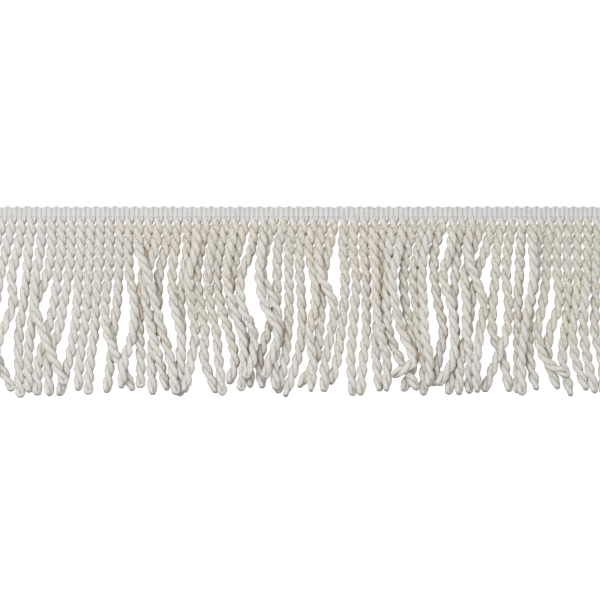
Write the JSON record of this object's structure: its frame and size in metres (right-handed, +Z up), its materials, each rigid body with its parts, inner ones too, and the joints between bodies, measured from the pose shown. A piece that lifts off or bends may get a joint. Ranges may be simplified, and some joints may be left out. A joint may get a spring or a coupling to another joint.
{
  "type": "twisted loop fringe trim",
  "caption": "Straight length of off-white cotton bullion fringe: a narrow ribbed heading with a row of thick twisted cord loops hanging from it, lying flat.",
  "frame": {"origin": "middle of the underside of the heading, on the surface it lies on", "axes": "+X along the trim, +Y from the loops' tips towards the heading, +Z up out of the face of the trim"},
  "size_m": [0.3313, 0.1007, 0.0101],
  "materials": {
    "heading_cotton": "matte woven cotton",
    "loop_cotton": "matte soft plied cotton"
  },
  "bodies": {
    "root": {"heading": "heading_cotton", "fringe_skirt": "loop_cotton"}
  },
  "joints": []
}
